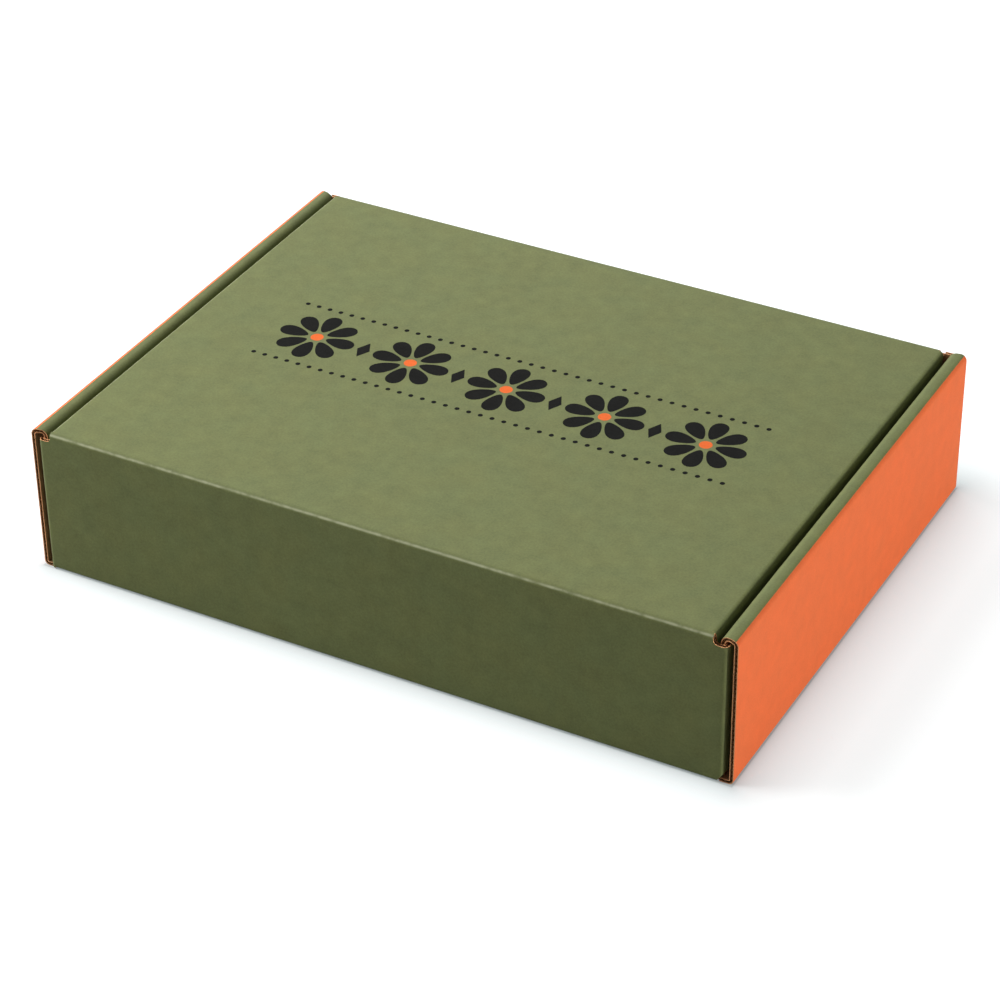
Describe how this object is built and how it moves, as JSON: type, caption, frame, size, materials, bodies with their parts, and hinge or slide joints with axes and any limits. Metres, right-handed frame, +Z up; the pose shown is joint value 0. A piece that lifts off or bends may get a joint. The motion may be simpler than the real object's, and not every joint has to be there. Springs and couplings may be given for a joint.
{
  "type": "corrugated mailer box",
  "caption": "Flat corrugated mailer box folded from one sheet, with rolled double side walls and a hinged tuck-in lid.",
  "frame": {"origin": "on the floor, under the middle of the closed box", "axes": "+X along the long walls, +Y from the hinge wall to the far wall, +Z up"},
  "size_m": [0.32, 0.233, 0.069],
  "materials": {
    "green_board": "matte print on kraft board",
    "orange_board": "matte print on kraft board",
    "kraft_board": "unprinted kraft liner",
    "black_ink": "matte black print on the lid"
  },
  "bodies": {
    "tray": {"tray": "green_board"},
    "lid": {"lid": "green_board"}
  },
  "joints": [
    {"name": "lid_hinge", "type": "hinge", "parent": "tray", "child": "lid", "pos_m": [0, -0.11591, 0.06841], "axis": [1, 0, 0], "range_deg": [0, 180]}
  ]
}
